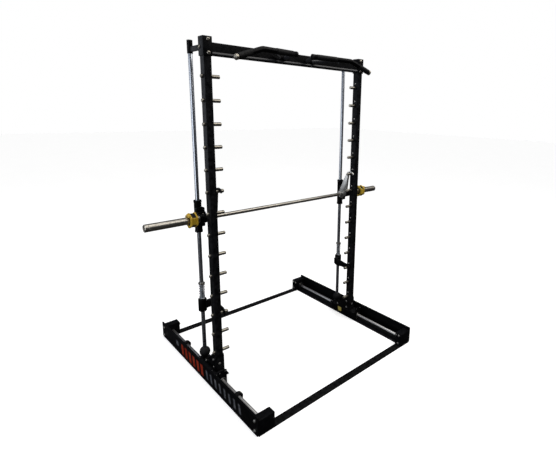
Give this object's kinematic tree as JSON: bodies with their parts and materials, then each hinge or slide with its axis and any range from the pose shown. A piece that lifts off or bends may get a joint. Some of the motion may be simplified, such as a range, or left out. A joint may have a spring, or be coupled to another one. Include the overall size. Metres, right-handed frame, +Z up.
{
  "type": "smith machine",
  "caption": "Barbell on vertical guide rods with racking hooks and safety stops, in a portal frame that rolls fore and aft on floor shafts, with pull-up handles.",
  "frame": {"origin": "On the floor at the centre of the base.", "axes": "+X runs along the bar toward the right-hand side as seen by someone in front of the machine; +Y points from the pull-up handles toward the guide rods; +Z is up."},
  "size_m": [2.16, 1.46, 2.342],
  "materials": {
    "black_powder_coat": "satin black powder coat",
    "strap_grey": "flat dark grey paint",
    "rod_chrome": "polished, ground round bar",
    "bar_chrome": "satin chrome",
    "zinc_plate": "bright zinc, slightly mottled",
    "black_rubber": "matte",
    "yellow_collar": "semi-gloss yellow",
    "spring_steel": "bright wire"
  },
  "bodies": {
    "base": {"side_plate_left": "black_powder_coat", "side_plate_right": "black_powder_coat", "bottom_plate_left": "black_powder_coat", "bottom_plate_right": "black_powder_coat", "carriage_shaft_left": "rod_chrome", "carriage_shaft_right": "rod_chrome", "end_block_front_left": "black_powder_coat", "end_block_rear_left": "black_powder_coat", "end_block_front_right": "black_powder_coat", "end_block_rear_right": "black_powder_coat", "stop_collar_front_left": "black_rubber", "stop_collar_rear_left": "black_rubber", "stop_collar_front_right": "black_rubber", "stop_collar_rear_right": "black_rubber", "cross_strap_front": "strap_grey", "cross_strap_rear": "strap_grey"},
    "carriage": {"shaft_bearing_left": "black_powder_coat", "shaft_bearing_right": "black_powder_coat", "bearing_flange_left": "black_powder_coat", "bearing_flange_right": "black_powder_coat", "foot_deck_left": "black_powder_coat", "foot_deck_right": "black_powder_coat", "foot_gusset_inner_left": "black_powder_coat", "foot_gusset_inner_right": "black_powder_coat", "foot_gusset_outer_left": "black_powder_coat", "foot_gusset_outer_right": "black_powder_coat", "upright_left": "black_powder_coat", "upright_right": "black_powder_coat", "top_cap_left": "black_powder_coat", "top_cap_right": "black_powder_coat", "pull_up_handle_left": "black_powder_coat", "pull_up_handle_right": "black_powder_coat", "guide_rod_left": "rod_chrome", "guide_rod_right": "rod_chrome", "rod_top_holder_left": "black_powder_coat", "rod_top_holder_right": "black_powder_coat", "rod_bumper_left": "black_rubber", "rod_bumper_right": "black_rubber", "top_beam": "black_powder_coat"},
    "bar_lift": {"slider_housing_left": "black_powder_coat", "slider_housing_right": "black_powder_coat", "bar_bearing_left": "black_powder_coat", "bar_bearing_right": "black_powder_coat"},
    "bar": {"bar_shaft": "bar_chrome", "weight_sleeve_left": "bar_chrome", "weight_sleeve_right": "bar_chrome", "racking_hook_left": "black_powder_coat", "racking_hook_right": "zinc_plate"},
    "lock_collar_left": {"lock_collar_left": "yellow_collar"},
    "collar_latch_left": {"collar_latch_left": "yellow_collar"},
    "stop_slide_left": {"stop_sleeve_left": "black_rubber", "buffer_spring_left": "spring_steel"},
    "stop_arm_left": {"stop_arm_left": "black_powder_coat"},
    "spring_cap_left": {"spring_cap_left": "zinc_plate"},
    "lock_collar_right": {"lock_collar_right": "yellow_collar"},
    "collar_latch_right": {"collar_latch_right": "yellow_collar"},
    "stop_slide_right": {"stop_sleeve_right": "black_rubber", "buffer_spring_right": "spring_steel"},
    "stop_arm_right": {"stop_arm_right": "black_powder_coat"},
    "spring_cap_right": {"spring_cap_right": "zinc_plate"}
  },
  "joints": [
    {"name": "carriage_travel", "type": "slide", "parent": "base", "child": "carriage", "axis": [0, 1, 0], "range_m": [-0.19, 0.245]},
    {"name": "bar_lift_travel", "type": "slide", "parent": "carriage", "child": "bar_lift", "axis": [0, 0, 1], "range_m": [-0.3625, 0.725]},
    {"name": "bar_turn", "type": "hinge", "parent": "bar_lift", "child": "bar", "pos_m": [0, 0.012, 1.189], "axis": [-1, 0, 0], "range_deg": [0, 40]},
    {"name": "lock_collar_slide_left", "type": "slide", "parent": "bar", "child": "lock_collar_left", "axis": [-1, 0, 0], "range_m": [-0.02, 0.268]},
    {"name": "collar_latch_turn_left", "type": "hinge", "parent": "lock_collar_left", "child": "collar_latch_left", "pos_m": [-0.8023, 0.012, 1.224], "axis": [-1, 0, 0], "range_deg": [0, 60]},
    {"name": "stop_travel_left", "type": "slide", "parent": "carriage", "child": "stop_slide_left", "axis": [0, 0, 1], "range_m": [-0.29, 0]},
    {"name": "stop_arm_turn_left", "type": "hinge", "parent": "stop_slide_left", "child": "stop_arm_left", "pos_m": [-0.692, 0.089, 0.523], "axis": [0, 0, 1], "range_deg": [0, 90]},
    {"name": "spring_cap_travel_left", "type": "slide", "parent": "stop_slide_left", "child": "spring_cap_left", "axis": [0, 0, 1], "range_m": [-0.05, 0], "stiffness_N_per_m": 8000, "deforming": ["buffer_spring_left"]},
    {"name": "lock_collar_slide_right", "type": "slide", "parent": "bar", "child": "lock_collar_right", "axis": [1, 0, 0], "range_m": [-0.12, 0.166]},
    {"name": "collar_latch_turn_right", "type": "hinge", "parent": "lock_collar_right", "child": "collar_latch_right", "pos_m": [0.9033, 0.012, 1.224], "axis": [-1, 0, 0], "range_deg": [0, 60]},
    {"name": "stop_travel_right", "type": "slide", "parent": "carriage", "child": "stop_slide_right", "axis": [0, 0, 1], "range_m": [-0.29, 0]},
    {"name": "stop_arm_turn_right", "type": "hinge", "parent": "stop_slide_right", "child": "stop_arm_right", "pos_m": [0.692, 0.089, 0.523], "axis": [0, 0, -1], "range_deg": [0, 90]},
    {"name": "spring_cap_travel_right", "type": "slide", "parent": "stop_slide_right", "child": "spring_cap_right", "axis": [0, 0, 1], "range_m": [-0.05, 0], "stiffness_N_per_m": 8000, "deforming": ["buffer_spring_right"]}
  ]
}
